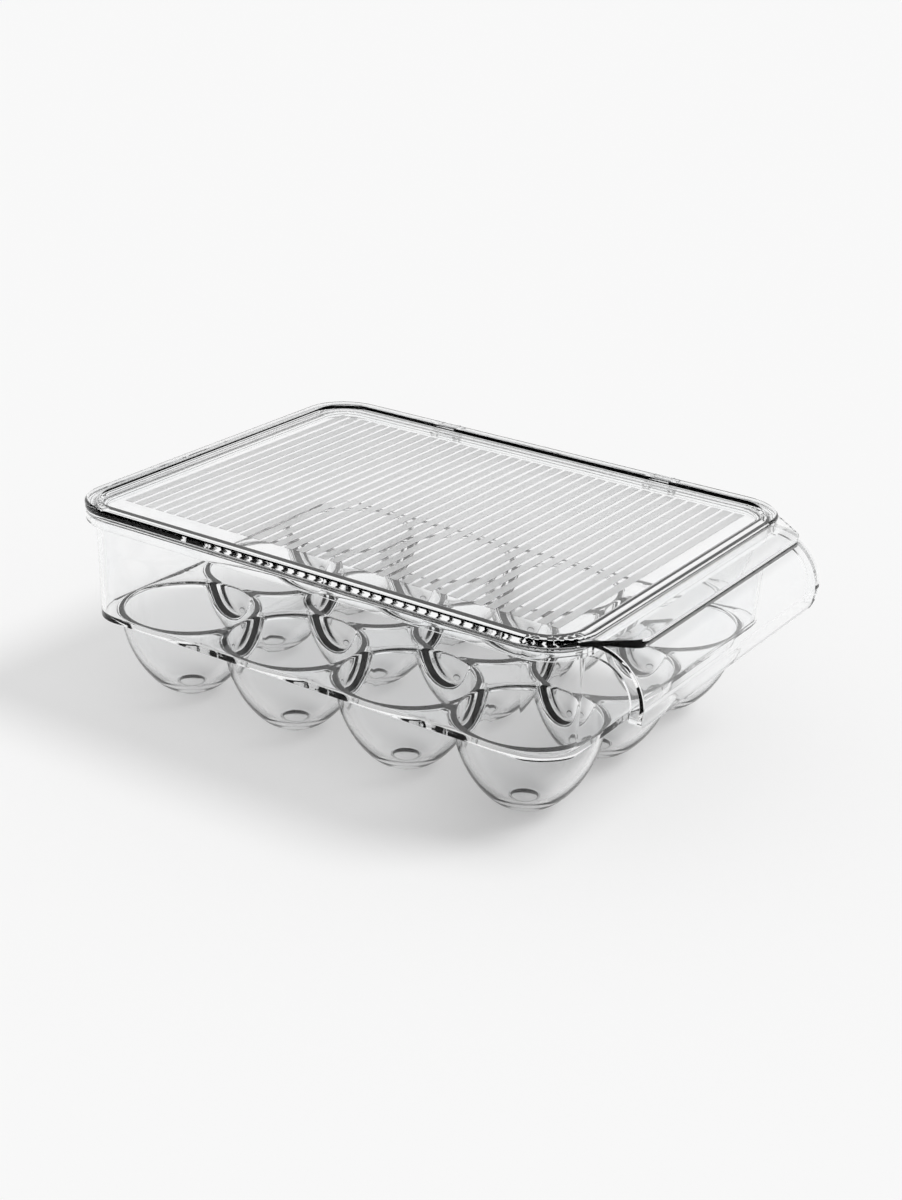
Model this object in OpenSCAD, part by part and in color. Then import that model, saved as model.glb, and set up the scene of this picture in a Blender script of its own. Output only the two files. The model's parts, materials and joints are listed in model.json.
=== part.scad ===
// Egg keeper with a flip lid: a clear moulded tray whose deck carries 4 by 3 egg cups, a bowed
// pull handle on one end, and a ribbed lid that clips on two pins along one long side.
// Millimetres. Z is up, the cups stand on Z = 0, the long way runs along Y, the handle is at -Y
// and the hinge is on the +X side.

/* [Size] */
// Half width of the lid, across the short way
lid_hx = 83; // [80:0.5:90]
// Half length of the lid, without its tab
lid_hy = 106.6; // [103.4:0.2:114]
// Radius of the lid's outer corners
lid_r = 19; // [17:0.5:22]
// Height of the closed keeper
high = 78.3; // [72:0.1:90]

/* [Egg cups] */
// Distance from one cup to the next, both ways
pitch = 49.8; // [49.6:0.1:50.4]
// Inner radius of a cup at its mouth
cup_ri = 24.2; // [23:0.1:24.2]
// Outer radius of a cup, carried up to the top of the deck
cup_ro = 26.1; // [25.6:0.1:27]
// Radius of the rounded edge of a cup's mouth
mouth_r = 0.6; // [0.2:0.1:0.6]
// Outer depth of a full cup below the top of the deck, before its foot is cut flat
cup_do = 35; // [32:0.1:40]
// Inner depth of a cup
cup_di = 32.4; // [28:0.1:34]
// Radius of the round nose of a cup, outside
nose_ro = 20; // [17:0.5:23]
// Radius of the round nose of a cup, inside
nose_ri = 18; // [15:0.5:20]
// How much of the nose the foot cuts away
foot_cut = 0.6; // [0.3:0.1:1]
// Radius and depth of the gate dimple under each cup
dimple_r = 4.2; // [2:0.1:4.5]
dimple_h = 1.2; // [0.4:0.1:1.2]
// Thickness of the deck between the cups
deck_t = 1.8; // [1.5:0.1:2.5]

/* [Tray wall and hem] */
// Thickness of the tray wall
wall_t = 1.8; // [1.5:0.1:2.2]
// How far the wall top stands in from the lid's outline
wall_in = 3.8; // [3.6:0.1:4.4]
// How far the wall draws in from its top to the deck
draft = 1.1; // [0.6:0.1:1.2]
// Height of the hem that hangs outside the wall
hem_h = 4.6; // [3:0.1:7]
// Thickness of the hem
hem_t = 1.7; // [1.3:0.1:2]
// How far the hem stands in from the lid's outline
hem_in = 0.4; // [0.2:0.1:0.6]

/* [Lid] */
// Height of the lid's edge
edge_h = 2.8; // [2.4:0.1:3.4]
// Air between the closed lid and the hem
lid_gap = 0.3; // [0.3:0.1:0.5]
// Width of the flat top of the lid's raised rim, and of the slope inside it
rim_w = 5.4; // [4:0.1:6]
slope_w = 1.2; // [0.8:0.1:1.4]
// How far the panel lies below the rim
recess = 1.6; // [1.2:0.1:1.8]
// Thickness of the panel
panel_t = 1.7; // [1.4:0.1:2.2]
// Width and depth of the locating lip under the panel
lip_t = 1.5; // [1.2:0.1:2]
lip_h = 2.4; // [1.5:0.1:3]

/* [Lid ribs] */
// Number of flat ribs across the panel
rib_n = 37; // [20:1:37]
// Distance from rib to rib
rib_pitch = 4.9; // [4.7:0.05:5]
// Width and height of a rib
rib_w = 3.7; // [2.5:0.1:4.2]
rib_h = 0.3; // [0.2:0.1:0.8]
// Half length of a rib
rib_hx = 66.5; // [50:0.5:70]
// Middle of the rib field along Y
rib_y = -3.6; // [-4:0.1:4]

/* [Lid tab] */
// How far the tab reaches past the lid's edge
tab_l = 13.6; // [8:0.1:14]
// Half width of the tab at its front, and where its sides meet the lid's outline
tab_hf = 63; // [52:0.5:66]
tab_hr = 73.4; // [68:0.1:74]
// Thickness of the tab, and radius of its front corners
tab_t = 2; // [1.6:0.1:2.2]
tab_r = 8; // [2:0.5:9]

/* [Handle] */
// Radius of the outside of the handle's bow
bow_r = 19.4; // [15:0.1:22]
// Thickness of the handle
bow_t = 2; // [1.6:0.1:2.6]
// Height of the flat that runs down from the bow, and how far its foot draws in
skirt_h = 6.5; // [4:0.5:12]
skirt_in = 1.1; // [0:0.1:2]
// Half width of the handle
bow_hx = 66.5; // [50:0.5:70]
// Depth of the stiffening wing along each side of the handle
wing_d = 5; // [3:0.1:7]
// Radius of the handle's lower corners
bow_corner = 5; // [2:0.5:8]

/* [Hinge] */
// Distance from the middle of the lid to each clip
clip_y = 49.8; // [35:0.1:60]
// Length of a clip
clip_l = 8.4; // [6:0.1:12]
// Radius of the hinge pin, of the clip's bore and of the clip
pin_r = 0.9; // [0.8:0.05:1.1]
bore_r = 0.95; // [0.85:0.05:1.2]
clip_r = 1.9; // [1.8:0.05:2.1]
// How far the hinge axis stands out from the lid's edge
axis_out = 2.2; // [2.1:0.05:2.6]
// Thickness of an ear, and the air beside the clip
ear_t = 2; // [1.5:0.1:3]
side_gap = 0.3; // [0.3:0.1:0.5]
// Radius of an ear round the pin
ear_r = 1.7; // [1.5:0.05:1.8]
// How far the lid opens
open_angle = 110; // [95:1:120]

/* [Hidden] */
$fn = 96;
e = 0.01;
// Corner centres that the lid, hem and wall share
ccx = lid_hx - lid_r;
ccy = lid_hy - lid_r;
// Radii of the corner, from the outside in
hem_ro = lid_r - hem_in;
wall_ro = lid_r - wall_in;
wall_rb = wall_ro - draft;
deck_r = wall_rb - wall_t;
// Heights
z_edge = high - edge_h;
z_hem = z_edge - lid_gap;
z_deck = cup_do - foot_cut;
z_under = z_deck - deck_t;
z_panel = high - recess;
// Radius of the panel's corner, where the rim's slope ends
panel_r = lid_r - rim_w - slope_w;
// Cup arcs: the nose circle and the side circle touch and share a tangent
nose_ho = cup_do - nose_ro;
nose_hi = cup_di - nose_ri;
side_ao = (nose_ho * nose_ho - pow(cup_ro - nose_ro, 2)) / (2 * (cup_ro - nose_ro));
side_ai = (nose_hi * nose_hi - pow(cup_ri - nose_ri, 2)) / (2 * (cup_ri - nose_ri));
// The mouth's edge circle touches the inner side arc and the top of the deck
mouth_out = sqrt(pow(cup_ri + side_ai + mouth_r, 2) - mouth_r * mouth_r) - side_ai;
mouth_k = (cup_ri + side_ai) / (cup_ri + side_ai + mouth_r);
// Handle
bow_y = -lid_hy;
bow_z = z_hem - bow_r;
handle_front = bow_y - bow_r;
// Hinge axis
axis_x = lid_hx + axis_out;
axis_z = z_hem + 0.1;
// Heel of the clip, in the open pose, measured from the axis
heel_x = axis_out + hem_in - 0.3;
heel_z = clip_r;
// The heel's corner in the closed pose gives the reach of the keeper past its hinge side
reach = heel_x * -cos(open_angle) + heel_z * sin(open_angle);
// Where the middle of the whole keeper lies, so that it can be moved to the origin
mid_x = (axis_x + reach - lid_hx) / 2;
mid_y = (handle_front + lid_hy) / 2;

CUPS = ["11", "12", "13", "21", "22", "23", "31", "32", "33", "41", "42", "43"];

// Moves the model so that the middle of the whole keeper stands on the origin
module place() {
    translate([-mid_x, -mid_y, 0]) children();
}

// Rounded rectangle whose corners have radius r about the shared corner centres
module outline(r) {
    square([2 * ccx, 2 * (ccy + r)], center = true);
    square([2 * (ccx + r), 2 * ccy], center = true);
    for (sx = [-1, 1]) for (sy = [-1, 1])
        translate([sx * ccx, sy * ccy]) circle(r);
}

// Straight run of a profile along one side: 0 is the back, 1 the open side, 2 the handle end,
// 3 the hinge side. The profile's X is the distance outward from the line of corner centres.
module run(side) {
    len = side % 2 == 0 ? 2 * ccx : 2 * ccy;
    off = side % 2 == 0 ? ccy : ccx;
    rotate([0, 0, 90 + side * 90]) translate([off, len / 2, 0]) rotate([90, 0, 0])
        linear_extrude(len) children();
}

// The same profile turned round one corner
module turn(sx, sy) {
    a = sx > 0 ? (sy > 0 ? 0 : 270) : (sy > 0 ? 90 : 180);
    translate([sx * ccx, sy * ccy, 0]) rotate([0, 0, a]) rotate_extrude(angle = 90) children();
}

// The profile taken all the way round
module loop() {
    for (s = [0:3]) run(s) children();
    for (sx = [-1, 1]) for (sy = [-1, 1]) turn(sx, sy) children();
}

// Tray wall with its hem, as one cross section
module wall_section() {
    polygon([[deck_r, z_under], [wall_rb, z_under], [wall_ro, z_hem - 1.7],
        [wall_ro, z_hem], [wall_ro - wall_t, z_hem], [deck_r, z_deck]]);
    difference() {
        union() {
            translate([wall_ro - wall_t, z_hem - 1.7]) square([hem_ro - 0.8 - wall_ro + wall_t, 1.7]);
            translate([hem_ro - hem_t, z_hem - hem_h + 0.5]) square([hem_t, hem_h - 1.3]);
            translate([hem_ro - 0.8, z_hem - 0.8]) circle(0.8);
            translate([hem_ro - 0.5, z_hem - hem_h + 0.5]) circle(0.5);
            translate([hem_ro - hem_t, z_hem - hem_h]) square([hem_t - 0.5, 1]);
        }
        translate([wall_ro - wall_t - 1, z_hem - 1.7 - 9]) square([1, 9]);
    }
}

// Raised rim of the lid, as one cross section
module rim_section() {
    difference() {
        union() {
            polygon([[panel_r, z_edge], [lid_r - 0.7, z_edge], [lid_r, z_edge + 0.7],
                [lid_r, high - 1.2], [lid_r - 1.2, high], [lid_r - rim_w, high], [panel_r, z_panel]]);
            translate([lid_r - 1.2, high - 1.2]) circle(1.2);
            translate([lid_r - 0.7, z_edge + 0.7]) circle(0.7);
        }
    }
}

// Half of a cup's profile below the top of the deck: a side arc and a nose arc that meet in a
// shared tangent, turned about the cup's axis by cup_body
module bowl(r, d, nose, a) {
    h = d - nose;
    big = r + a;
    zt = -big * h / (big - nose);
    rotate_extrude() {
        intersection() {
            translate([-a, 0]) circle(big, $fn = 180);
            translate([0, zt]) square([r + 1, -zt]);
        }
        intersection() {
            translate([0, -h]) circle(nose, $fn = 120);
            translate([0, -d - 1]) square([r + 1, d + 1 + zt + e]);
        }
    }
}

// What the rounded edge of a cup's mouth cuts away from the deck
module mouth() {
    rotate_extrude() difference() {
        polygon([[0, 0.5], [mouth_out, 0.5], [mouth_out, -mouth_r],
            [(mouth_out + side_ai) * mouth_k - side_ai, -mouth_r * mouth_k],
            [0, -mouth_r * mouth_k]]);
        translate([mouth_out, -mouth_r]) circle(mouth_r, $fn = 24);
    }
}

// One cup with its share of the deck. Row 1 is at the handle end and column 1 on the open side.
// Neighbouring cups meet in flat faces on their cell's edges, where their walls run together.
module egg_cup(name) {
    row = ord(name[0]) - ord("1");
    col = ord(name[1]) - ord("1");
    x = (col - 1) * pitch;
    y = (row - 1.5) * pitch;
    x0 = col == 0 ? -lid_hx : x - pitch / 2;
    x1 = col == 2 ? lid_hx : x + pitch / 2;
    y0 = row == 0 ? -lid_hy : y - pitch / 2;
    y1 = row == 3 ? lid_hy : y + pitch / 2;
    color("lightcyan") place() difference() {
        union() {
            intersection() {
                translate([0, 0, z_under]) linear_extrude(deck_t) outline(deck_r);
                translate([x0, y0, z_under - 1]) cube([x1 - x0, y1 - y0, deck_t + 2]);
            }
            intersection() {
                translate([x, y, z_deck]) bowl(cup_ro, cup_do, nose_ro, side_ao);
                translate([x0, y0, 0]) cube([x1 - x0, y1 - y0, z_under]);
            }
        }
        translate([x, y, z_deck + e]) bowl(cup_ri, cup_di, nose_ri, side_ai);
        translate([x, y, z_deck]) mouth();
        translate([x, y, -1]) cylinder(r = dimple_r, h = dimple_h + 1);
    }
}

module wall_side(side) {
    color("paleturquoise") place() run(side) wall_section();
}

module wall_corner(sx, sy) {
    color("powderblue") place() turn(sx, sy) wall_section();
}

// Side view of the handle: a quarter bow that starts level with the top of the hem, then a flat
module handle_section(d) {
    intersection() {
        difference() {
            circle(bow_r, $fn = 180);
            circle(bow_r - d, $fn = 180);
        }
        translate([-bow_r, 0]) square([bow_r, bow_r]);
    }
    translate([0, bow_r - d]) square([1.5, d]);
    polygon([[-bow_r, e], [-bow_r + skirt_in, -skirt_h], [-bow_r + skirt_in + d, -skirt_h],
        [-bow_r + d, e]]);
}

// The handle's slab from x0 to x1, cut clear of the hem and rounded at its lower corners
module handle_slab(x0, x1, d) {
    difference() {
        translate([x0, bow_y, bow_z]) rotate([90, 0, 90]) linear_extrude(x1 - x0)
            handle_section(d);
        linear_extrude(high) outline(hem_ro);
        for (s = [-1, 1]) difference() {
            translate([s > 0 ? bow_hx - bow_corner : -bow_hx - 1, handle_front - 1,
                bow_z - skirt_h - 1]) cube([bow_corner + 1, 2 * bow_r, bow_corner + 1]);
            translate([s * (bow_hx - bow_corner), handle_front - 2, bow_z - skirt_h + bow_corner])
                rotate([-90, 0, 0]) cylinder(r = bow_corner, h = 3 * bow_r);
        }
    }
}

module handle_bow() {
    color("skyblue") place() handle_slab(-bow_hx + bow_t, bow_hx - bow_t, bow_t);
}

module handle_wing(s) {
    color("deepskyblue") place() {
        if (s < 0) handle_slab(-bow_hx, -bow_hx + bow_t, wing_d);
        if (s > 0) handle_slab(bow_hx - bow_t, bow_hx, wing_d);
    }
}

// Two ears on the hem with the hinge pin between them
module hinge_ears(s) {
    w = clip_l / 2 + side_gap;
    color("steelblue") place() translate([0, s * clip_y, 0]) {
        for (k = [-1, 1]) translate([axis_x, k * (w + ear_t / 2) + ear_t / 2, axis_z])
            rotate([90, 0, 0]) linear_extrude(ear_t) {
                circle(ear_r);
                polygon([[-axis_out - hem_in, -0.5], [0, -0.5], [1.4, -1], [0, -3.2],
                    [-axis_out - hem_in, -4.2]]);
            }
        translate([axis_x, w, axis_z]) rotate([90, 0, 0]) cylinder(r = pin_r, h = 2 * w);
    }
}

module lid_rim() {
    color("white") place() loop() rim_section();
}

module lid_panel() {
    color("lightgray") place() {
        translate([0, 0, z_panel - panel_t]) linear_extrude(panel_t) outline(panel_r);
        for (i = [0:rib_n - 1])
            translate([-rib_hx, rib_y + (i - (rib_n - 1) / 2) * rib_pitch - rib_w / 2, z_panel - e])
                cube([2 * rib_hx, rib_w, rib_h + e]);
    }
}

module lid_lip() {
    color("gainsboro") place() loop()
        translate([panel_r - lip_t, z_panel - panel_t - lip_h]) square([lip_t, lip_h]);
}

module lid_tab() {
    // Each slanting side touches the circle of its front corner
    root = [tab_hr, -lid_hy + 2.8];
    mid = [tab_hf - tab_r, -lid_hy - tab_l + tab_r];
    way = root - mid;
    a = atan2(way.y, way.x) - acos(tab_r / norm(way));
    touch = mid + tab_r * [cos(a), sin(a)];
    color("whitesmoke") place() translate([0, 0, z_edge]) linear_extrude(tab_t) difference() {
        union() {
            polygon([[-root.x, root.y], [-touch.x, touch.y], [-mid.x, mid.y - tab_r],
                [mid.x, mid.y - tab_r], touch, root]);
            for (s = [-1, 1]) translate([s * mid.x, mid.y]) circle(tab_r);
        }
        outline(lid_r);
    }
}

// Clip on the lid's edge that turns on the pin, with a heel that meets the hem when fully open
module lid_clip(s) {
    color("slategray") place() translate([axis_x, s * clip_y + clip_l / 2, axis_z])
        rotate([90, 0, 0]) linear_extrude(clip_l) difference() {
            union() {
                circle(clip_r);
                translate([-axis_out, 0.6]) square([axis_out, clip_r - 0.6]);
                rotate([0, 0, open_angle]) translate([-heel_x, -heel_z])
                    square([heel_x, heel_z - 0.5]);
            }
            circle(bore_r);
        }
}

for (n = CUPS) egg_cup(n);
wall_side(2);  // wall_handle_end
wall_side(0);  // wall_back_end
wall_side(1);  // wall_open_side
wall_side(3);  // wall_hinge_side
wall_corner(-1, -1);  // corner_handle_open
wall_corner(1, -1);  // corner_handle_hinge
wall_corner(-1, 1);  // corner_back_open
wall_corner(1, 1);  // corner_back_hinge
handle_bow();
handle_wing(-1);  // handle_wing_open
handle_wing(1);  // handle_wing_hinge
hinge_ears(-1);  // hinge_ears_front
hinge_ears(1);  // hinge_ears_back
lid_rim();
lid_panel();
lid_lip();
lid_tab();
lid_clip(-1);  // lid_clip_front
lid_clip(1);  // lid_clip_back
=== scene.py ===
# %% [markdown]
# # An egg keeper with a flip lid, in clear moulded plastic
# The keeper is two mouldings: a tray whose deck carries twelve round egg cups, and a ribbed lid that
# turns on two pins along one long side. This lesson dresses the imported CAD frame. Clear plastic
# shows every inner face, so the split CAD nodes are replaced by two seamless skins of the same size.

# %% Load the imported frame
import json
import math

import bmesh
import bpy
from mathutils import Matrix, Vector


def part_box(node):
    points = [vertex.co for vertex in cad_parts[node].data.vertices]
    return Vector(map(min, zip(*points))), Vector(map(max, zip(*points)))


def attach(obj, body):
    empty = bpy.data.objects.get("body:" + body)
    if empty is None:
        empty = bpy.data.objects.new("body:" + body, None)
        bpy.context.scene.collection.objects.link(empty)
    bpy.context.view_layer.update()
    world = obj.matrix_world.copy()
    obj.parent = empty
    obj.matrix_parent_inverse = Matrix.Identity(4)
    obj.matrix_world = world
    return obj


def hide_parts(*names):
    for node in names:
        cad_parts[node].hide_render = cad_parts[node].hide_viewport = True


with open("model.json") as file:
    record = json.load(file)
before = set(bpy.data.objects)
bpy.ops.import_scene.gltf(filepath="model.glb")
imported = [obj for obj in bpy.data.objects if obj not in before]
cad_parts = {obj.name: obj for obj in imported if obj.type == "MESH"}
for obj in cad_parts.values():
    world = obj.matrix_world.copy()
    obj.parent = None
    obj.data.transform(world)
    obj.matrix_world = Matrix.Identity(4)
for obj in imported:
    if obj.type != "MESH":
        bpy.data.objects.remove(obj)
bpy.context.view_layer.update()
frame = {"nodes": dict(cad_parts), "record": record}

MM = 0.001

# %% [markdown]
# ## The camera first
# The camera stands at the open side near the handle end, a little above the lid, and looks down
# by 23 degrees. Its place and lens were fitted to the outline of the lid and the rims of the cups.
# The picture was held 2.4 degrees off level, so the camera rolls by as much.

# %% Camera
CAMERA_AT = (-0.58794, -0.37796, 0.33691)
CAMERA_AZIMUTH = -57.111
CAMERA_ELEVATION = 22.923
CAMERA_ROLL = 2.394
CAMERA_LENS = 61.02


def camera_back(azimuth, elevation):
    """Direction from the object to a camera that looks along +Y at azimuth 0."""
    a, e = math.radians(azimuth), math.radians(elevation)
    return Vector((math.sin(a) * math.cos(e), -math.cos(a) * math.cos(e), math.sin(e)))


def add_camera(place, azimuth, elevation, roll, lens):
    """A camera at place that looks down by elevation, turned about its own axis by roll."""
    back = camera_back(azimuth, elevation)
    level = Vector((0, 0, 1)).cross(back).normalized()
    rise = back.cross(level)
    r = math.radians(roll)
    right = math.cos(r) * level + math.sin(r) * rise
    up = -math.sin(r) * level + math.cos(r) * rise
    data = bpy.data.cameras.new("camera")
    data.lens = lens
    data.sensor_width = 36
    data.sensor_fit = "AUTO"
    data.clip_start, data.clip_end = 0.01, 50
    camera = bpy.data.objects.new("camera", data)
    bpy.context.scene.collection.objects.link(camera)
    turn = Matrix((right, up, back)).transposed().to_4x4()
    camera.matrix_world = Matrix.Translation(place) @ turn
    return camera


camera = add_camera(CAMERA_AT, CAMERA_AZIMUTH, CAMERA_ELEVATION, CAMERA_ROLL, CAMERA_LENS)
bpy.context.scene.camera = camera
bpy.context.scene.view_settings.view_transform = "Standard"
print("camera looks from", [round(v, 3) for v in camera.location])

# %% [markdown]
# ## Driving sizes
# All sizes are millimetres, measured from the middle of the lid and from the table, and they repeat
# the names of the CAD source. The frame tells where the middle of the lid lies. Only the finest
# forms are the picture's own: fillets, rounded edges, the foot with its dimple, the thicker front of
# the tab, and bars that stand lower.

# %% Driving sizes
LID_HX, LID_HY, LID_R, HIGH = 83.0, 106.6, 19.0, 78.3
PITCH, DECK_T = 49.8, 1.8
CUP_RI, CUP_DI, NOSE_RI = 24.2, 32.4, 18.0
CUP_RO, CUP_DO, NOSE_RO = 26.1, 35.0, 20.0
FOOT_CUT, FOOT_R, DIMPLE_R, DIMPLE_H = 0.6, 6.2, 5.9, 1.3
WALL_T, WALL_IN, DRAFT = 1.8, 3.8, 1.1
HEM_H, HEM_T, HEM_IN, HEM_TOP = 4.6, 1.7, 0.4, 1.7
EDGE_H, LID_GAP, RIM_W, SLOPE_W, RECESS, PANEL_T = 2.8, 0.3, 5.4, 1.2, 1.6, 1.7
LIP_T, LIP_H = 1.5, 2.4
BARS, BAR_PITCH, BAR_W, BAR_H, BAR_HX, BAR_Y, BAR_SUNK = 38, 4.9, 3.5, 0.08, 66.5, -1.15, 0.3
TAB_L, TAB_HF, TAB_HR, TAB_T, TAB_R = 13.6, 63.0, 73.4, 2.0, 8.0
TAB_LIP_H, TAB_LIP_BACK = 1.4, 4.0
BOW_R, BOW_T, SKIRT_H, SKIRT_IN = 19.4, 2.0, 6.5, 1.1
BOW_HX, WING_D, BOW_CORNER = 66.5, 5.0, 5.0
# Fillets between neighbouring cups, at the wall and at a cup's mouth
VALLEY_R, WALL_FILLET, MOUTH_R = 1.5, 0.3, 0.65
# Worked out from the sizes above
CCX, CCY = LID_HX - LID_R, LID_HY - LID_R
HEM_RO, WALL_RO = LID_R - HEM_IN, LID_R - WALL_IN
WALL_RB = WALL_RO - DRAFT
DECK_R = WALL_RB - WALL_T
Z_EDGE = HIGH - EDGE_H
Z_HEM = Z_EDGE - LID_GAP
Z_DECK = CUP_DO - FOOT_CUT
Z_UNDER = Z_DECK - DECK_T
Z_PANEL = HIGH - RECESS
PANEL_R = LID_R - RIM_W - SLOPE_W

rim_low, rim_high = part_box("lid_rim")
MID = Vector(((rim_low.x + rim_high.x) / 2, (rim_low.y + rim_high.y) / 2, 0)) / MM
print("lid centre in mm:", [round(v, 2) for v in MID])

# %% [markdown]
# ## Mesh helpers
# Nearly every form here is a flat line that is either pulled straight or taken round the keeper's
# rounded rectangle. Two helpers make those, and a third one fuses the pieces. The pieces are closed,
# so the fast manifold solver can join them without leaving inner faces, which clear plastic would show.

# %% Mesh helpers
CORNER_STEPS = 24


def new_object(name, points, faces):
    """A mesh object from points in millimetres about the lid's middle."""
    mesh = bpy.data.meshes.new(name)
    mesh.from_pydata([(Vector(p) + MID) * MM for p in points], [], faces)
    obj = bpy.data.objects.new(name, mesh)
    bpy.context.scene.collection.objects.link(obj)
    return obj


def tidy_normals(obj, merge=1e-7):
    """Merges doubles and turns all faces outwards."""
    bm = bmesh.new()
    bm.from_mesh(obj.data)
    bmesh.ops.remove_doubles(bm, verts=bm.verts, dist=merge)
    bmesh.ops.recalc_face_normals(bm, faces=bm.faces)
    bm.to_mesh(obj.data)
    bm.free()


def arc(cx, cz, r, start, end, steps):
    """Points of an arc from one angle to another, in degrees."""
    turn = [math.radians(start + (end - start) * i / steps) for i in range(steps + 1)]
    return [(cx + r * math.cos(t), cz + r * math.sin(t)) for t in turn]


def corner_rows():
    """Corner centres and directions of the rounded rectangle, anticlockwise."""
    rows = []
    for k, (sx, sy) in enumerate(((1, 1), (-1, 1), (-1, -1), (1, -1))):
        for i in range(CORNER_STEPS + 1):
            t = math.radians(90 * k + 90 * i / CORNER_STEPS)
            rows.append((sx * CCX, sy * CCY, math.cos(t), math.sin(t)))
    return rows


def sweep_loop(name, profile):
    """A closed profile of (outward distance, height) taken round the rounded rectangle."""
    rows = corner_rows()
    n, m = len(profile), len(rows)
    points = [(cx + u * c, cy + u * s, z) for cx, cy, c, s in rows for u, z in profile]
    faces = []
    for i in range(m):
        k = (i + 1) % m
        for j in range(n):
            h = (j + 1) % n
            faces.append((i * n + j, k * n + j, k * n + h, i * n + h))
    obj = new_object(name, points, faces)
    tidy_normals(obj)
    return obj


def extrude(name, outline, low, high, axis):
    """A flat outline pulled along X, Y or Z. The outline holds the other two coordinates."""
    def at(a, b, h):
        return {"X": (h, a, b), "Y": (a, h, b), "Z": (a, b, h)}[axis]
    n = len(outline)
    points = [at(a, b, low) for a, b in outline] + [at(a, b, high) for a, b in outline]
    faces = [tuple(range(n)), tuple(range(2 * n - 1, n - 1, -1))]
    faces += [(i, n + i, n + (i + 1) % n, (i + 1) % n) for i in range(n)]
    obj = new_object(name, points, faces)
    tidy_normals(obj)
    return obj


def apply_modifiers(obj):
    """Makes the object's modifiers part of its mesh."""
    evaluated = obj.evaluated_get(bpy.context.evaluated_depsgraph_get())
    mesh = bpy.data.meshes.new_from_object(evaluated)
    obj.modifiers.clear()
    obj.data = mesh


def combine(base, tools, operation):
    """Cuts the tools from the base or fuses them with it, and removes the tools."""
    for tool in tools:
        boolean = base.modifiers.new("boolean", "BOOLEAN")
        boolean.operation = operation
        boolean.solver = "MANIFOLD"
        boolean.object = tool
        apply_modifiers(base)
        bpy.data.objects.remove(tool)
    return base


def bevel(obj, width, steps, angle, share=None):
    """Rounds the edges that turn by more than angle degrees, each by its share of the width."""
    bm = bmesh.new()
    bm.from_mesh(obj.data)
    weight = bm.edges.layers.float.new("bevel_weight_edge")
    for edge in bm.edges:
        if math.degrees(edge.calc_face_angle(0)) > angle:
            edge[weight] = share(edge) if share else 1
    bm.to_mesh(obj.data)
    bm.free()
    modifier = obj.modifiers.new("bevel", "BEVEL")
    modifier.width = width * MM
    modifier.segments = steps
    modifier.limit_method = "WEIGHT"
    apply_modifiers(obj)


def joined_copy(name, node):
    """A closed copy of a CAD node's mesh, whose triangles come loose."""
    obj = bpy.data.objects.new(name, frame["nodes"][node].data.copy())
    obj.data.materials.clear()
    bpy.context.scene.collection.objects.link(obj)
    tidy_normals(obj, 1e-6)
    return obj


print("corner centres at", CCX, CCY)

# %% [markdown]
# ## The cup deck
# Twelve bowls hang in one sheet of plastic. Each bowl is a side arc and a nose arc with a shared
# tangent. Turned profiles joined by booleans would leave sharp creases between the bowls, so each
# cell is drawn along rays from its cup's axis: a ray follows the bowl, then a fillet, then the deck
# until it meets the cell's border. Where the border comes before the deck, the two neighbouring
# fillets meet there and leave the round valley that shows as a dark U between two cups.

# %% Cup profile
SIDE_STEPS, NOSE_STEPS, ROUND_STEPS, EDGE_STEPS, FLAT_STEPS = 14, 10, 5, 24, 2
DISH_FROM, DISH_STEP = 84, 12
WALL_ROUND = 0.12


def cup_arc(radius, depth, nose):
    """Centre offset and radius of the side arc that is upright at the deck, and the nose's depth."""
    h = depth - nose
    a = (h * h - (radius - nose) ** 2) / (2 * (radius - nose))
    return a, radius + a, h


AI, BI, HI = cup_arc(CUP_RI, CUP_DI, NOSE_RI)
AO, BO, HO = cup_arc(CUP_RO, CUP_DO, NOSE_RO)


def bowl_line(a, big, h, nose, start_r, end_r, end_z):
    """Profile from near the axis over the nose arc to a point of the side arc."""
    touch = math.degrees(math.atan2(-h, a))
    first = math.degrees(math.asin(start_r / nose)) - 90
    end = math.degrees(math.atan2(end_z, end_r + a))
    return arc(0, -h, nose, first, touch, NOSE_STEPS) + arc(-a, 0, big, touch, end, SIDE_STEPS)[1:]


def fillet_line(a, big, q, level, d):
    """Where the fillet of radius q leaves the bowl, and its points up to the border at d."""
    rc = min(-a + math.sqrt((big + q) ** 2 - (level + q) ** 2), d)
    zc = -math.sqrt((big + q) ** 2 - (rc + a) ** 2)
    leave = (-a + (rc + a) * big / (big + q), zc * big / (big + q))
    start = 180 + math.degrees(math.atan2(leave[1], leave[0] + a))
    line = arc(rc, zc, q, start, 90, ROUND_STEPS)[1:]
    line += [(rc + (d - rc) * k / FLAT_STEPS, zc + q) for k in range(1, FLAT_STEPS + 1)]
    return leave, line


def inside_line(d):
    """Upper surface of a cup from its axis to the cell's border."""
    leave, fillet = fillet_line(AI, BI, MOUTH_R, 0, d)
    return bowl_line(AI, BI, HI, NOSE_RI, 0.6, *leave) + fillet


def outside_line(d, q):
    """Lower surface of a cup, with its foot ring and the gate dimple in it."""
    leave, fillet = fillet_line(AO, BO, q, DECK_T, d)
    turns = [math.radians(DISH_FROM - DISH_STEP * i) for i in range(DISH_FROM // DISH_STEP + 1)]
    dish = [(DIMPLE_R * math.cos(t), DIMPLE_H * math.sin(t) - Z_DECK) for t in turns]
    foot = [(FOOT_R - 0.1, -Z_DECK), (FOOT_R, 0.1 - Z_DECK)]
    return dish + foot + bowl_line(AO, BO, HO, NOSE_RO, FOOT_R + 0.1, *leave) + fillet


print("side arcs: inner", round(BI, 2), "outer", round(BO, 2))

# %% Cells of the deck


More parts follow.
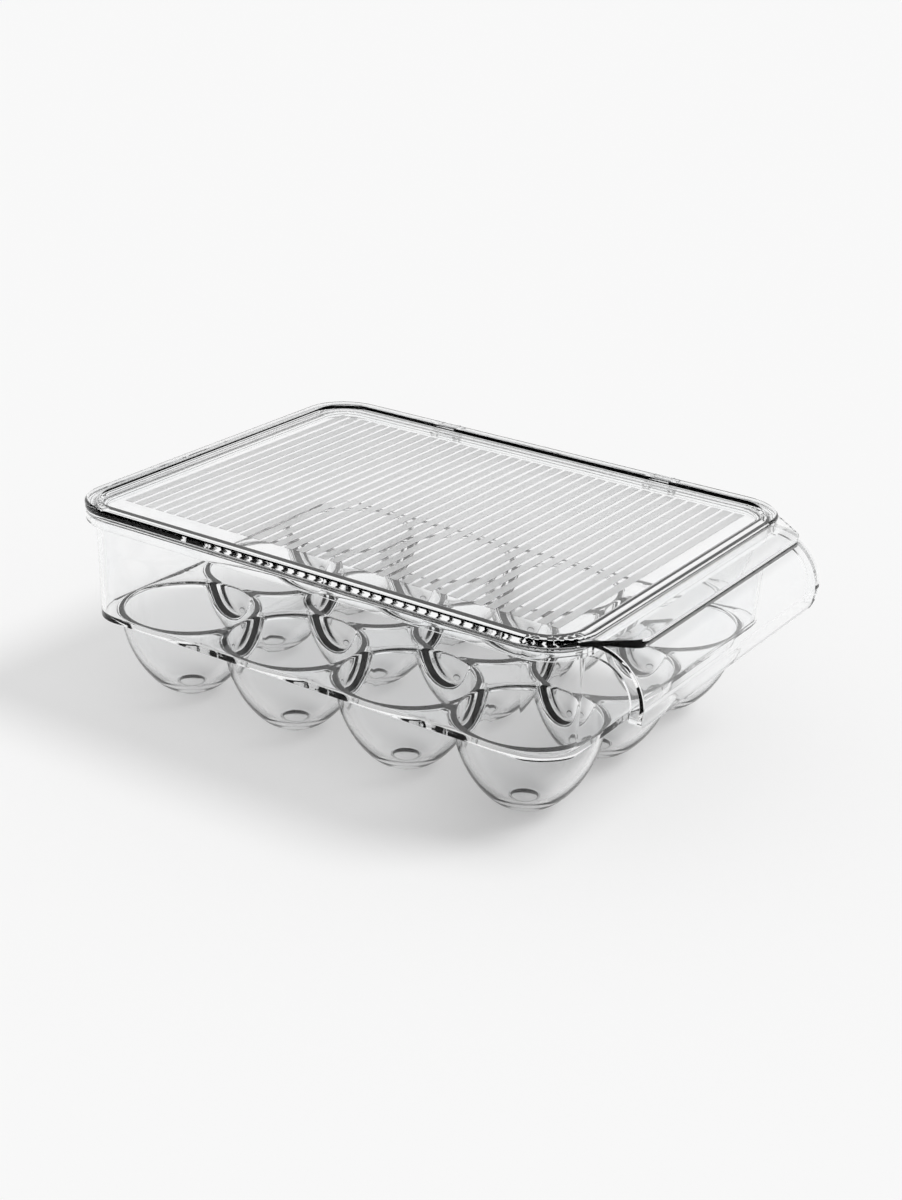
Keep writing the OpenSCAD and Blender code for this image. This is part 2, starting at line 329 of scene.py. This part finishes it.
def cell_rays(x0, x1, y0, y1):
    """Directions from a cup's axis to evenly spaced points between the corners of its cell."""
    corners = [(x1, y0), (x1, y1), (x0, y1), (x0, y0)]
    rays = []
    for (ax, ay), (bx, by) in zip(corners, corners[1:] + corners[:1]):
        start, end = math.atan2(ay, ax), math.atan2(by, bx)
        if end < start:
            end += 2 * math.pi
        rays += [start + (end - start) * i / EDGE_STEPS for i in range(EDGE_STEPS)]
    return rays


def cell_box(row, col, r):
    """Borders of a cell about its cup's axis, and its rounded corner, for the outline of radius r."""
    x, y, half = (col - 1) * PITCH, (row - 1.5) * PITCH, PITCH / 2
    x0 = -CCX - r - x if col == 0 else -half
    x1 = CCX + r - x if col == 2 else half
    y0 = -CCY - r - y if row == 0 else -half
    y1 = CCY + r - y if row == 3 else half
    corner = None
    if col != 1 and row in (0, 3):
        corner = ((-CCX if col == 0 else CCX) - x, (-CCY if row == 0 else CCY) - y, r)
    return x0, x1, y0, y1, corner


def reach(t, x0, x1, y0, y1, corner):
    """Distance along direction t to the cell's border."""
    c, s = math.cos(t), math.sin(t)
    along_x = x1 / c if c > 1e-9 else x0 / c if c < -1e-9 else math.inf
    along_y = y1 / s if s > 1e-9 else y0 / s if s < -1e-9 else math.inf
    d = min(along_x, along_y)
    if corner:
        cx, cy, r = corner
        past_x = (c * d - cx) * math.copysign(1, cx) > 0
        past_y = (s * d - cy) * math.copysign(1, cy) > 0
        if past_x and past_y:
            along = c * cx + s * cy
            d = along + math.sqrt(max(0, r * r - (cx * cx + cy * cy - along * along)))
    return d


FILLET_FROM, FILLET_BLEND = 15, 25


def valley_radius(t, row, col):
    """Fillet under the deck along direction t: wide between cups, small towards an outer wall."""
    walls = [a for a, there in ((math.pi, col == 0), (0, col == 2), (-math.pi / 2, row == 0),
                                (math.pi / 2, row == 3)) if there]
    q = VALLEY_R
    for a in walls:
        off = math.degrees(math.acos(max(-1, min(1, math.cos(t - a)))))
        share = max(0, min(1, (off - FILLET_FROM) / FILLET_BLEND))
        share = share * share * (3 - 2 * share)
        q = min(q, WALL_FILLET + (VALLEY_R - WALL_FILLET) * share)
    return q


def add_sheet(points, faces, rows, pole, flip):
    """Adds a ring of rays as quads, closed at the cup's axis by a pole."""
    base, m, n = len(points), len(rows), len(rows[0])
    for row in rows:
        points += row
    points.append(pole)
    last = len(points) - 1
    for i in range(m):
        j = (i + 1) % m
        ring = [(last, base + i * n, base + j * n)]
        for k in range(n - 1):
            a, b = base + i * n + k, base + j * n + k
            ring.append((a, a + 1, b + 1, b))
        faces += [f[::-1] for f in ring] if flip else ring


def make_deck():
    """The sheet of twelve cups, closed along its outer border."""
    points, faces = [], []
    for row in range(4):
        for col in range(3):
            x, y = (col - 1) * PITCH, (row - 1.5) * PITCH
            upper = cell_box(row, col, DECK_R)
            lower = cell_box(row, col, WALL_RB - WALL_ROUND)
            top, under = [], []
            for t in cell_rays(*upper[:4]):
                c, s = math.cos(t), math.sin(t)
                inside = inside_line(reach(t, *upper))
                outside = outside_line(reach(t, *lower), valley_radius(t, row, col))
                top.append([(x + r * c, y + r * s, Z_DECK + z) for r, z in inside])
                under.append([(x + r * c, y + r * s, Z_DECK + z) for r, z in outside])
            add_sheet(points, faces, top, (x, y, Z_DECK - CUP_DI), False)
            add_sheet(points, faces, under, (x, y, DIMPLE_H), True)
    deck = new_object("deck", points, faces)
    bm = bmesh.new()
    bm.from_mesh(deck.data)
    bmesh.ops.remove_doubles(bm, verts=bm.verts, dist=2e-6)
    bmesh.ops.bridge_loops(bm, edges=[e for e in bm.edges if e.is_boundary])
    bmesh.ops.recalc_face_normals(bm, faces=bm.faces)
    print("open edges of the deck:", len([e for e in bm.edges if not e.is_manifold]))
    bm.to_mesh(deck.data)
    bm.free()
    return deck


tray = make_deck()
print("deck faces:", len(tray.data.polygons))

# %% [markdown]
# ## Wall, hem, handle and hinge ears
# The wall leans out by a small draft and turns over into a hem, so one closed line taken round the
# corners makes both. The handle is a quarter bow that leaves the top of the hem and runs down into
# a short skirt, with a deeper wing along each side. Its edges are rounded before it is fused on,
# because a sharp edge of clear plastic shows as one hard black line.

# %% Wall and hem
HEM_FOOT_R, HEM_TOP_R, WALL_TOP_R = 0.5, 0.8, 0.4


def wall_profile():
    """Cross section of wall and hem, as one closed line of (outward distance, height)."""
    outer, z = HEM_RO - HEM_T, Z_HEM
    line = [(DECK_R - 0.3, Z_UNDER)]
    line += arc(WALL_RB - WALL_ROUND, Z_UNDER + WALL_ROUND, WALL_ROUND, -90, 0, 5)
    line += [(WALL_RO, z - HEM_TOP - 0.6), (WALL_RO + 0.2, z - HEM_TOP - 0.2)]
    line += [(WALL_RO + 0.6, z - HEM_TOP), (outer - 0.4, z - HEM_TOP)]
    line += [(outer, z - HEM_TOP - 0.4), (outer, z - HEM_H)]
    line += arc(HEM_RO - HEM_FOOT_R, z - HEM_H + HEM_FOOT_R, HEM_FOOT_R, -90, 0, 4)
    line += arc(HEM_RO - HEM_TOP_R, z - HEM_TOP_R, HEM_TOP_R, 0, 90, 6)
    line += arc(WALL_RO - WALL_T + WALL_TOP_R, z - WALL_TOP_R, WALL_TOP_R, 90, 180, 4)
    line += [(DECK_R + 0.25, Z_DECK + 0.5), (DECK_R + 0.1, Z_DECK + 0.15), (DECK_R - 0.3, Z_DECK)]
    return line


wall = sweep_loop("wall", wall_profile())
print("wall faces:", len(wall.data.polygons))

# %% Handle
HANDLE_ROOT, HANDLE_EDGE, INNER_SHARE = 1.5, 0.8, 0.5


def bow_profile(depth):
    """Side view of the handle as (y, z), with its bow towards -Y."""
    top, z = -LID_HY, Z_HEM - BOW_R
    foot = top - BOW_R + SKIRT_IN
    line = [(top + HANDLE_ROOT, Z_HEM)] + arc(top, z, BOW_R, 90, 180, 24)
    line += [(foot, z - SKIRT_H), (foot + depth, z - SKIRT_H)]
    return line + arc(top, z, BOW_R - depth, 180, 90, 24) + [(top + HANDLE_ROOT, Z_HEM - depth)]


def corner_cutter(s):
    """What lies outside the rounded lower corner of the handle, pulled along Y."""
    x, z = s * (BOW_HX - BOW_CORNER), Z_HEM - BOW_R - SKIRT_H + BOW_CORNER
    round_part = arc(0, 0, BOW_CORNER, 0, -90, 15)
    line = [(s * (BOW_HX + 1), z - BOW_CORNER - 1), (s * (BOW_HX + 1), z)]
    line += [(x + s * a, z + b) for a, b in round_part] + [(x, z - BOW_CORNER - 1)]
    return extrude("cutter", line, -LID_HY - BOW_R - 1, -LID_HY + 2, "Y")


def edge_share(edge):
    """Full rounding on the outer side edges of the bow, and less on all other edges."""
    middle = (edge.verts[0].co + edge.verts[1].co) / 2 / MM - MID
    from_axis = math.hypot(middle.y + LID_HY, max(0, middle.z - Z_HEM + BOW_R))
    on_side = all(abs(abs(v.co.x / MM - MID.x) - BOW_HX) < 0.05 for v in edge.verts)
    outer = from_axis > BOW_R - SKIRT_IN - 0.3 and middle.z < Z_HEM - 0.05
    return 1 if on_side and outer else INNER_SHARE


def make_handle():
    """Bow, skirt and both wings with rounded lower corners and edges."""
    handle = extrude("handle", bow_profile(BOW_T), -BOW_HX, BOW_HX, "X")
    wings = [extrude("wing", bow_profile(WING_D), s * BOW_HX, s * (BOW_HX - BOW_T), "X")
             for s in (-1, 1)]
    combine(handle, wings, "UNION")
    combine(handle, [corner_cutter(s) for s in (-1, 1)], "DIFFERENCE")
    bevel(handle, HANDLE_EDGE, 5, 40, edge_share)
    return handle


handle = make_handle()
print("handle faces:", len(handle.data.polygons))

# %% Tray moulding in one skin
ears = [joined_copy("ears", node) for node in ("hinge_ears_front", "hinge_ears_back")]
combine(tray, [wall, handle] + ears, "UNION")
tray.name = "tray_moulding"
print("tray faces:", len(tray.data.polygons))

# %% [markdown]
# ## The lid
# The lid has a raised rim all round, a sunk panel, a lip below it that keeps it in place, and a tab
# over the handle. Rim and lip are lines taken round the same corners as the wall, and panel and tab
# are flat outlines pulled up. The clips are the frame's own, fused to the rim.

# %% Lid rim, panel, lip and tab
RIM_FOOT_R, RIM_TOP_R, LIP_CUT = 0.7, 1.2, 0.3


def rim_profile():
    """Cross section of the raised rim and its slope down to the panel."""
    line = [(PANEL_R - 0.5, Z_EDGE)]
    line += arc(LID_R - RIM_FOOT_R, Z_EDGE + RIM_FOOT_R, RIM_FOOT_R, -90, 0, 5)
    line += arc(LID_R - RIM_TOP_R, HIGH - RIM_TOP_R, RIM_TOP_R, 0, 90, 8)
    line += [(LID_R - RIM_W + 0.3, HIGH), (LID_R - RIM_W - 0.1, HIGH - 0.15)]
    line += [(PANEL_R + 0.3, Z_PANEL + 0.15), (PANEL_R - 0.1, Z_PANEL), (PANEL_R - 0.5, Z_PANEL)]
    return line


def lip_profile():
    """Cross section of the locating lip, with small chamfers at its foot."""
    low, inner = Z_PANEL - PANEL_T - LIP_H, PANEL_R - LIP_T
    line = [(inner, low + LIP_CUT), (inner + LIP_CUT, low)]
    line += [(PANEL_R - LIP_CUT, low), (PANEL_R, low + LIP_CUT)]
    return line + [(PANEL_R, Z_EDGE + 0.2), (inner, Z_EDGE + 0.2)]


def tab_outline():
    """The tab from above: each slanting side touches the circle of its front corner."""
    cx, cy = TAB_HF - TAB_R, -LID_HY - TAB_L + TAB_R
    dx, dy = TAB_HR - cx, -LID_HY + 2.8 - cy
    touch = math.degrees(math.atan2(dy, dx) - math.acos(TAB_R / math.hypot(dx, dy)))
    side = [(TAB_HR, -LID_HY + 2.8)] + arc(cx, cy, TAB_R, touch, -90, 12)
    return side + [(-x, y) for x, y in reversed(side)]


def tab_lip():
    """The tab grows thicker towards its front, where a finger lifts it, and stays clear of the bow."""
    front, back = -LID_HY - TAB_L - 1, -LID_HY - TAB_LIP_BACK
    line = [(front, Z_EDGE - TAB_LIP_H), (back, Z_EDGE + 0.2), (back, Z_EDGE + 1), (front, Z_EDGE + 1)]
    wedge = extrude("wedge", line, -TAB_HR, TAB_HR, "X")
    return combine(wedge, [extrude("cutter", tab_outline(), Z_EDGE - 5, Z_EDGE + 5, "Z")], "INTERSECT")


def make_lid():
    """Rim, panel, lip, tab and clips in one closed skin."""
    lid = sweep_loop("lid", rim_profile())
    flat = [(cx + (PANEL_R - 0.4) * c, cy + (PANEL_R - 0.4) * s) for cx, cy, c, s in corner_rows()]
    panel = extrude("panel", flat, Z_PANEL - PANEL_T, Z_PANEL, "Z")
    tab = extrude("tab", tab_outline(), Z_EDGE + 0.001, Z_EDGE + TAB_T, "Z")
    combine(tab, [tab_lip()], "UNION")
    bevel(tab, 0.2, 2, 60)
    clips = [joined_copy("clip", node) for node in ("lid_clip_front", "lid_clip_back")]
    return combine(lid, [panel, sweep_loop("lip", lip_profile()), tab] + clips, "UNION")


lid = make_lid()
lid.name = "lid_moulding"
print("lid faces:", len(lid.data.polygons))

# %% [markdown]
# ## Clear and frosted plastic
# Clear plastic is a transmitting surface without roughness. Light that only travels to lamps or to
# the floor passes straight through it, because real clear mouldings throw a pale shadow. A slow
# noise bends the surface by a hair, as a moulding does. Light that turns back inside the plastic
# again and again is cut to black, a painted shade that draws the dark lines along cups and edges;
# a lit copy of the plastic lets it turn far longer, so the handle and the far walls are painted
# bright. The bars on the lid are fine-etched in the mould, so they share the plastic but scatter
# what passes. They scatter little when seen from inside the lid, and not at all for light that has
# passed two other faces, so edges below the lid stay crisp.

# %% Materials
PLASTIC_IOR, FACE_SHINE = 1.53, 0.2
TINT_STOPS = [(0.3, (0.985, 0.99, 0.993)), (0.7, (1, 1, 1))]
# Scale of the noise and height of the wave, in metres
MOULD_WAVE, ETCHED_WAVE = (40, 0.00004), (900, 0.000004)
# The share of light that one face lets through to the floor, and the turns before light is cut to
# black, which paints the dark lines as shade
CLEAR_PASSES, FROST_PASSES = 0.885, 0.93
CLEAR_TURNS, LIT_TURNS, FROST_TURNS = 3, 40, 2
# Roughness of the frost from outside and from inside, and the ray depth at which it ends
FROST_ROUGH, INNER_ROUGH, FROST_DEPTH = 0.29, 0.04, 1.5


def add_noise(nodes, links, scale, detail):
    """A noise texture on the object's own coordinates."""
    coord = nodes.new("ShaderNodeTexCoord")
    noise = nodes.new("ShaderNodeTexNoise")
    noise.inputs["Scale"].default_value = scale
    noise.inputs["Detail"].default_value = detail
    links.new(coord.outputs["Object"], noise.inputs["Vector"])
    return noise.outputs["Fac"]


def add_ramp(nodes, links, source, stops):
    """A colour ramp over grey values at the given positions."""
    ramp = nodes.new("ShaderNodeValToRGB")
    elements = ramp.color_ramp.elements
    while len(elements) < len(stops):
        elements.new(0.5)
    for element, (position, colour) in zip(elements, stops):
        element.position = position
        element.color = (*colour, 1)
    links.new(source, ramp.inputs[0])
    return ramp.outputs[0]


def add_math(nodes, links, operation, *values):
    """A math node whose values are numbers or outputs of other nodes."""
    node = nodes.new("ShaderNodeMath")
    node.operation = operation
    for value, socket in zip(values, node.inputs):
        if isinstance(value, bpy.types.NodeSocket):
            links.new(value, socket)
        else:
            socket.default_value = value
    return node.outputs[0]


def add_mix(nodes, links, share, first, second):
    """Two shaders, mixed by the share of the second one."""
    mix = nodes.new("ShaderNodeMixShader")
    for source, socket in zip((share, first, second), mix.inputs):
        links.new(source, socket)
    return mix.outputs[0]


def add_clear(nodes, grey):
    """A surface that lets this share of the light go straight on."""
    clear = nodes.new("ShaderNodeBsdfTransparent")
    clear.inputs["Color"].default_value = (grey, grey, grey, 1)
    return clear.outputs[0]


def moulded_plastic(name, rough, scale, height, passes, turns):
    """Plastic with a surface wave. Light that turns back more often than turns is cut to black: painted
    shade.
    """
    material = bpy.data.materials.new(name)
    material.use_nodes = True
    nodes, links = material.node_tree.nodes, material.node_tree.links
    plastic = nodes["Principled BSDF"]
    plastic.inputs["Transmission Weight"].default_value = 1
    plastic.inputs["IOR"].default_value = PLASTIC_IOR
    plastic.inputs["Specular Tint"].default_value = (FACE_SHINE, FACE_SHINE, FACE_SHINE, 1)
    plastic.inputs["Roughness"].default_value = rough
    noise = add_noise(nodes, links, scale, 2)
    links.new(add_ramp(nodes, links, noise, TINT_STOPS), plastic.inputs["Base Color"])
    bump = nodes.new("ShaderNodeBump")
    bump.inputs["Strength"].default_value = 1
    bump.inputs["Distance"].default_value = height
    links.new(noise, bump.inputs["Height"])
    links.new(bump.outputs[0], plastic.inputs["Normal"])
    path = nodes.new("ShaderNodeLightPath").outputs
    if rough:
        side = nodes.new("ShaderNodeNewGeometry").outputs["Backfacing"]
        amount = add_math(nodes, links, "MULTIPLY_ADD", side, INNER_ROUGH - rough, rough)
        early = add_math(nodes, links, "LESS_THAN", path["Ray Depth"], FROST_DEPTH)
        scatter = add_math(nodes, links, "MULTIPLY", early, amount)
        links.new(scatter, plastic.inputs["Roughness"])
    # Painted shade: past this many turns the surface goes black, which draws the dark lines along cups
    # and edges
    too_often = add_math(nodes, links, "GREATER_THAN", path["Glossy Depth"], turns + 0.5)
    inner = add_mix(nodes, links, too_often, plastic.outputs[0], add_clear(nodes, 0))
    to_lamp = add_math(nodes, links, "MAXIMUM", path["Is Shadow Ray"], path["Is Diffuse Ray"])
    surface = add_mix(nodes, links, to_lamp, inner, add_clear(nodes, passes))
    links.new(surface, nodes["Material Output"].inputs["Surface"])
    return material


clear = moulded_plastic("clear_plastic", 0, *MOULD_WAVE, CLEAR_PASSES, CLEAR_TURNS)
# A lit copy of the same plastic: many more turns before the painted black, so its faces are painted
# brighter
lit_copy = moulded_plastic("lit_plastic", 0, *MOULD_WAVE, CLEAR_PASSES, LIT_TURNS)
frosted = moulded_plastic("frosted_plastic", FROST_ROUGH, *ETCHED_WAVE, FROST_PASSES, FROST_TURNS)
print("materials:", clear.name, lit_copy.name, frosted.name)

# %% [markdown]
# ## The bars on the lid
# Thirty-eight equal bars cross the panel, so a node tree makes them: points on a line, one bar on
# each point, made real and given the frosted plastic. The count, the spacing and the size of a bar
# are its inputs. The finished field is fused with the lid, so only its tops and edges stay.

# %% Bar field by geometry nodes


def bar_tree():
    """Geometry nodes that set equal bars along Y."""
    tree = bpy.data.node_groups.new("bar_field", "GeometryNodeTree")
    face = tree.interface
    face.new_socket("Count", in_out="INPUT", socket_type="NodeSocketInt")
    face.new_socket("First Bar", in_out="INPUT", socket_type="NodeSocketVector")
    face.new_socket("Step", in_out="INPUT", socket_type="NodeSocketVector")
    face.new_socket("Bar Size", in_out="INPUT", socket_type="NodeSocketVector")
    face.new_socket("Material", in_out="INPUT", socket_type="NodeSocketMaterial")
    face.new_socket("Bars", in_out="OUTPUT", socket_type="NodeSocketGeometry")
    nodes, links = tree.nodes, tree.links
    given = nodes.new("NodeGroupInput")
    line = nodes.new("GeometryNodeMeshLine")
    bar = nodes.new("GeometryNodeMeshCube")
    place = nodes.new("GeometryNodeInstanceOnPoints")
    real = nodes.new("GeometryNodeRealizeInstances")
    paint = nodes.new("GeometryNodeSetMaterial")
    result = nodes.new("NodeGroupOutput")
    links.new(given.outputs["Count"], line.inputs["Count"])
    links.new(given.outputs["First Bar"], line.inputs["Start Location"])
    links.new(given.outputs["Step"], line.inputs["Offset"])
    links.new(given.outputs["Bar Size"], bar.inputs["Size"])
    links.new(line.outputs["Mesh"], place.inputs["Points"])
    links.new(bar.outputs["Mesh"], place.inputs["Instance"])
    links.new(place.outputs["Instances"], real.inputs["Geometry"])
    links.new(real.outputs["Geometry"], paint.inputs["Geometry"])
    links.new(given.outputs["Material"], paint.inputs["Material"])
    links.new(paint.outputs["Geometry"], result.inputs["Bars"])
    return tree


def make_bars():
    """The bar field as a plain mesh, sunk a little into the panel."""
    tree = bar_tree()
    bars = new_object("bars", [], [])
    modifier = bars.modifiers.new("bar_field", "NODES")
    modifier.node_group = tree
    middle_z = Z_PANEL + (BAR_H - BAR_SUNK) / 2
    first = (Vector((0, BAR_Y - (BARS - 1) / 2 * BAR_PITCH, middle_z)) + MID) * MM
    values = {"Count": BARS, "First Bar": first, "Step": Vector((0, BAR_PITCH, 0)) * MM,
              "Bar Size": Vector((2 * BAR_HX, BAR_W, BAR_H + BAR_SUNK)) * MM, "Material": frosted}
    for item in tree.interface.items_tree:
        if item.in_out == "INPUT":
            modifier[item.identifier] = values[item.name]
    apply_modifiers(bars)
    return bars


bars = make_bars()
print("bar faces:", len(bars.data.polygons), "materials:", [m.name for m in bars.data.materials if m])

# %% [markdown]
# ## Two skins in place of the CAD nodes
# The bars are fused with the lid, and both skins are shaded smooth, with their flat faces kept flat.
# Further plastics go to faces by place: bar tops are frosted, and the handle and the far walls keep
# light longer. Each skin rides on its body, whose CAD nodes are hidden.

# %% Fuse the bars and dress both skins
SHARP_ANGLE = 32
# The handle's lowest line keeps the clear plastic with its painted dark edge, and so does the back wall
# up to here
LIT_ABOVE_FOOT, LIT_FROM_X = 0.05, -50


def dress(obj, material, sharp):
    """One material and smooth shading, in which large flat faces stay flat next to small fillets."""
    obj.data.materials.clear()
    obj.data.materials.append(material)
    obj.data.polygons.foreach_set("use_smooth", [True] * len(obj.data.polygons))
    obj.data.set_sharp_from_angle(angle=math.radians(sharp))
    weighted = obj.modifiers.new("weighted", "WEIGHTED_NORMAL")
    weighted.mode = "FACE_AREA"
    weighted.weight = 100
    weighted.keep_sharp = True
    apply_modifiers(obj)


def set_faces(obj, material, wanted):
    """Gives a further material to the wanted faces."""
    obj.data.materials.append(material)
    faces = [p for p in obj.data.polygons if wanted(p)]
    for p in faces:
        p.material_index = len(obj.data.materials) - 1
    print(material.name, "on", len(faces), "of", len(obj.data.polygons), "faces")


def on_bar(face):
    """A face on top of a bar."""
    return abs(face.center.z - (Z_PANEL + BAR_H) * MM) < 0.02 * MM and face.normal.z > 0.99


def on_lit_part(face):
    """A face painted brighter with the lit copy: the handle, but for its lower edge, or the walls at
    the hinge side and the back.
    """
    place = face.center / MM - MID
    if place.y < -LID_HY - 0.5:
        return place.z > Z_HEM - BOW_R - SKIRT_H + LIT_ABOVE_FOOT
    wall = DECK_R - 0.3
    return place.x > CCX + wall or (place.y > CCY + wall and place.x > LIT_FROM_X)


combine(lid, [bars], "UNION")
dress(tray, clear, SHARP_ANGLE)
dress(lid, clear, SHARP_ANGLE)
set_faces(lid, frosted, on_bar)
# The handle and the far walls get the lit copy, which paints them brighter than the clear plastic
set_faces(tray, lit_copy, on_lit_part)

bodies = frame["record"]["behaviour"]["bodies"]
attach(tray, "tray")
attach(lid, "lid")
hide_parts(*bodies["tray"])
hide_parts(*bodies["lid"])
for node in frame["nodes"].values():
    node.data.materials.clear()
    node.data.materials.append(clear)
print("replaced", len(bodies["tray"]) + len(bodies["lid"]), "CAD nodes")

# %% [markdown]
# ## A pale studio
# The keeper stands on a wide pale floor in even light, with one very soft lamp from the right of the
# picture that draws the shadow towards the left. Clear plastic is drawn by what its edges bend into
# view: the far side and the floor are white, and the side of the camera is dark, as in a studio
# where the light stands behind the product.

# %% Floor and lamp
FLOOR_HALF, FLOOR_GREY, FLOOR_AIR = 6.0, 0.97, 0.2
SUN_AZIMUTH, SUN_ELEVATION, SUN_ANGLE, SUN_STRENGTH = 32.0, 54.0, 22.0, 2.1
DOME_STRENGTH = 0.43


def plain_material(name, grey):
    """An even matt surface."""
    material = bpy.data.materials.new(name)
    material.use_nodes = True
    surface = material.node_tree.nodes["Principled BSDF"]
    surface.inputs["Base Color"].default_value = (grey, grey, grey, 1)
    surface.inputs["Roughness"].default_value = 0.9
    surface.inputs["Specular IOR Level"].default_value = 0
    return material


def make_floor():
    """A wide floor just below the feet."""
    h = FLOOR_HALF
    mesh = bpy.data.meshes.new("floor")
    mesh.from_pydata([(-h, -h, 0), (h, -h, 0), (h, h, 0), (-h, h, 0)], [], [(0, 1, 2, 3)])
    mesh.materials.append(plain_material("pale_floor", FLOOR_GREY))
    floor = bpy.data.objects.new("floor", mesh)
    bpy.context.scene.collection.objects.link(floor)
    floor.location.z = -FLOOR_AIR * MM


def make_sun():
    """A broad distant lamp that clear plastic itself doesn't show."""
    data = bpy.data.lights.new("soft_lamp", "SUN")
    data.energy = SUN_STRENGTH
    data.angle = math.radians(SUN_ANGLE)
    lamp = bpy.data.objects.new("soft_lamp", data)
    bpy.context.scene.collection.objects.link(lamp)
    towards = camera_back(SUN_AZIMUTH, SUN_ELEVATION)
    lamp.rotation_euler = towards.to_track_quat("Z", "Y").to_euler()
    lamp.visible_glossy = False
    lamp.visible_transmission = False


make_floor()
make_sun()
print("lamp shines from", [round(v, 2) for v in camera_back(SUN_AZIMUTH, SUN_ELEVATION)])

# %% Surroundings
DARK_TILT = 70.0
DARK_STOPS = [(0.0, (0.97, 0.97, 0.97)), (0.17, (0.97, 0.97, 0.97)), (0.24, (0.003, 0.003, 0.003))]


def make_world():
    """Even light for matt surfaces; white and dark fields for what the plastic reflects and bends."""
    world = bpy.data.worlds.new("studio")
    bpy.context.scene.world = world
    world.use_nodes = True
    nodes, links = world.node_tree.nodes, world.node_tree.links
    nodes.clear()
    dome = nodes.new("ShaderNodeBackground")
    dome.inputs["Color"].default_value = (1, 1, 1, 1)
    dome.inputs["Strength"].default_value = DOME_STRENGTH
    seen = nodes.new("ShaderNodeBackground")
    coord = nodes.new("ShaderNodeTexCoord")
    towards = nodes.new("ShaderNodeVectorMath")
    towards.operation = "DOT_PRODUCT"
    towards.inputs[1].default_value = camera_back(CAMERA_AZIMUTH, DARK_TILT)
    links.new(coord.outputs["Generated"], towards.inputs[0])
    ramp = add_ramp(nodes, links, towards.outputs["Value"], DARK_STOPS)
    links.new(ramp, seen.inputs["Color"])
    path = nodes.new("ShaderNodeLightPath").outputs
    chosen = path["Is Camera Ray"]
    for other in ("Is Glossy Ray", "Is Transmission Ray"):
        chosen = add_math(nodes, links, "MAXIMUM", chosen, path[other])
    sky = add_mix(nodes, links, chosen, dome.outputs[0], seen.outputs[0])
    out = nodes.new("ShaderNodeOutputWorld")
    links.new(sky, out.inputs["Surface"])


make_world()
cycles = bpy.context.scene.cycles
cycles.max_bounces = 64
cycles.transmission_bounces = 48
cycles.glossy_bounces = 48
cycles.transparent_max_bounces = 48
print("light paths up to", cycles.max_bounces, "bounces")
